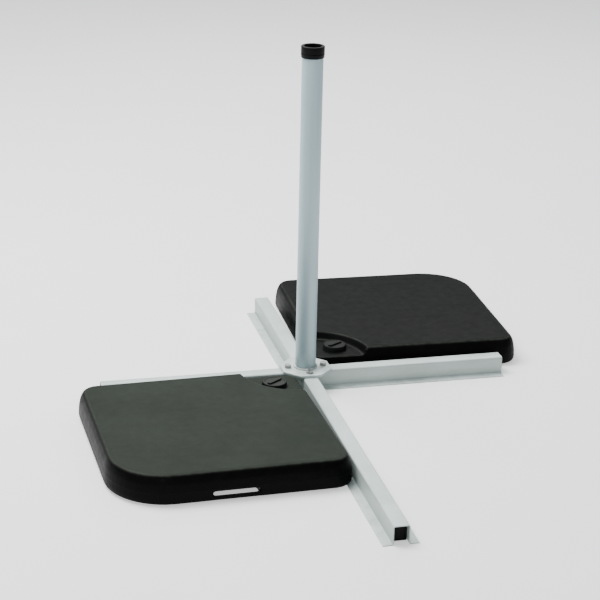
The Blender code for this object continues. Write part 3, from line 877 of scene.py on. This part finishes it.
def tank(side, skin):
    turn = TANK_TURNS[side]
    joint = next(j for j in record["behaviour"]["joints"] if j["name"] == f"{side}_cap_turn")
    axis = (joint["pos_m"][0], joint["pos_m"][1], 0.0)
    offset = Matrix.Rotation(turn, 2) @ Vector(NECK_PLACE)
    low, high = node_box(f"{side}_tank_shell")
    seat = (axis[0] - offset.x, axis[1] - offset.y, low.z)
    look = TANK_LOOKS[side]
    shell = add(f"{side}_shell", skin.copy(), look, seat, turn, sharp=60)
    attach(shell, f"{side}_tank")
    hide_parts(f"{side}_tank_shell")

    neck = add(f"{side}_neck", filler_neck_mesh(high.z - RECESS_DEPTH), look, axis)
    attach(neck, f"{side}_tank")

    ceiling = node_box(f"{side}_cap_seal")[1].z + GAP
    look = CAP_LOOKS[side]
    cap = add(f"{side}_screw_cap", cap_mesh(f"{side}_cap", ceiling), look, axis, turn + CAP_TURN)
    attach(cap, f"{side}_cap")
    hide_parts(f"{side}_cap")

    low, high = node_box(f"{side}_cap")
    bar_low, bar_high = high.z - CAP_BAR_LOW, high.z + CAP_BAR_HIGH
    mesh = cap_bar_mesh(f"{side}_cap_bar", (high.x - low.x) / 2, bar_low, bar_high)
    piece = add(f"{side}_cap_bar", mesh, look, axis, turn + CAP_TURN)
    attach(piece, f"{side}_cap")


# ---------------------------------------------------------------- CAD nodes that stay


def dress(node, look, width=0.0):
    """A CAD node that stays gets its material and, where it shows, softened edges."""
    piece = frame["nodes"][node]
    for slot in piece.material_slots:
        slot.material = look
    if width:
        weld = piece.modifiers.new("weld", "WELD")
        weld.merge_threshold = 0.00001
        bevel_edges(piece, width, 2, 40)


# ---------------------------------------------------------------- stage

FLOOR_HALF = 40.0
# (name, place, aim, (width, height), watts)
SOFTBOXES = (
    ("key", (-1.4, 0.9, 3.4), (0.0, 0.0, 0.1), (2.2, 2.2), 240.0),
    ("back", (1.2, 3.4, 2.6), (0.0, 0.2, 0.1), (3.4, 1.4), 60.0),
    ("front", (-1.3, -3.4, 1.7), (0.0, 0.1, 0.4), (0.9, 0.9), 16.0),
)
# The camera stands where the photographer stood, and turns from that line of sight down to the base.
CAMERA_FROM_MAST = Vector((-0.967, -3.837, 1.705))
SIGHT = Vector((0.3401, 0.9366, -0.0845))  # of the photographer's camera
ROLL = 0.0307  # about SIGHT
AIM_FROM_CENTRE = Vector((-0.062, -0.042, -0.125))
LENS = 110.0
SENSOR_WIDTH = 36.0


def ground():
    """Pale sweep that glows a little, like the photograph's white ground."""
    bm = bmesh.new()
    bmesh.ops.create_grid(bm, x_segments=1, y_segments=1, size=FLOOR_HALF)
    mesh = bpy.data.meshes.new("floor")
    bm.to_mesh(mesh)
    bm.free()
    look = Look("pale_floor", 0.7, 0.0, 0.1)
    grain = look.noise(3.0, 4.0)
    look.colour(look.mix(look.ramp(grain, 0.3, 0.7), (0.86, 0.86, 0.855), (0.89, 0.89, 0.885)))
    look.shader.inputs["Emission Color"].default_value = (1.0, 1.0, 1.0, 1.0)
    look.shader.inputs["Emission Strength"].default_value = 0.62
    floor = add("floor", mesh, look.material)


def sky():
    world = bpy.data.worlds.new("studio")
    world.use_nodes = True
    background = world.node_tree.nodes["Background"]
    background.inputs["Color"].default_value = (0.93, 0.96, 1.0, 1.0)
    background.inputs["Strength"].default_value = 0.50
    bpy.context.scene.world = world


def softbox(name, place, aim, size, power):
    data = bpy.data.lights.new(name, "AREA")
    data.shape = "RECTANGLE"
    data.size, data.size_y = size
    data.energy = power
    lamp = bpy.data.objects.new(name, data)
    lamp.location = place
    lamp.rotation_euler = (Vector(aim) - Vector(place)).to_track_quat("-Z", "Y").to_euler()
    bpy.context.collection.objects.link(lamp)


def camera():
    low, high = (Vector(corner) for corner in cad_box)
    place = Vector((*MAST, 0.0)) + CAMERA_FROM_MAST
    aim = (low + high) / 2 + AIM_FROM_CENTRE
    level = Vector((SIGHT.y, -SIGHT.x, 0.0)).normalized()
    up = level.cross(SIGHT.normalized())
    up = up * math.cos(ROLL) - level * math.sin(ROLL)
    forward = (aim - place).normalized()
    right = forward.cross(up).normalized()
    up = right.cross(forward)
    data = bpy.data.cameras.new("camera")
    data.lens = LENS
    data.sensor_width = SENSOR_WIDTH
    data.clip_end = 100.0
    eye = bpy.data.objects.new("camera", data)
    eye.matrix_world = Matrix((
        (right.x, up.x, -forward.x, place.x),
        (right.y, up.y, -forward.y, place.y),
        (right.z, up.z, -forward.z, place.z),
        (0.0, 0.0, 0.0, 1.0),
    ))
    bpy.context.collection.objects.link(eye)
    bpy.context.scene.camera = eye


def main():
    camera()
    bar("front_back_bar", "long_bar", "Y", LONG_STEEL)
    bar("left_right_bar", "cross_bar", "X", CROSS_STEEL)
    foot_plate()
    weld_bead()
    mast_tube()
    collar()
    liner()
    swivel_ring()
    skin = tank_skin(TANK_PROFILE[-1][0])
    for side in TANK_TURNS:
        tank(side, skin)
        dress(f"{side}_tank_ballast", SAND)
        dress(f"{side}_cap_seal", RUBBER)
    for side, turn in (("front", 0.0), ("right", math.pi / 2), ("back", math.pi), ("left", -math.pi / 2)):
        bolt(side)
        end_plug(side, turn)
        dress(f"washer_{side}", ZINC, 0.0002)
        dress(f"nut_{side}", ZINC, 0.0003)
    ground()
    sky()
    for softbox_settings in SOFTBOXES:
        softbox(*softbox_settings)


main()
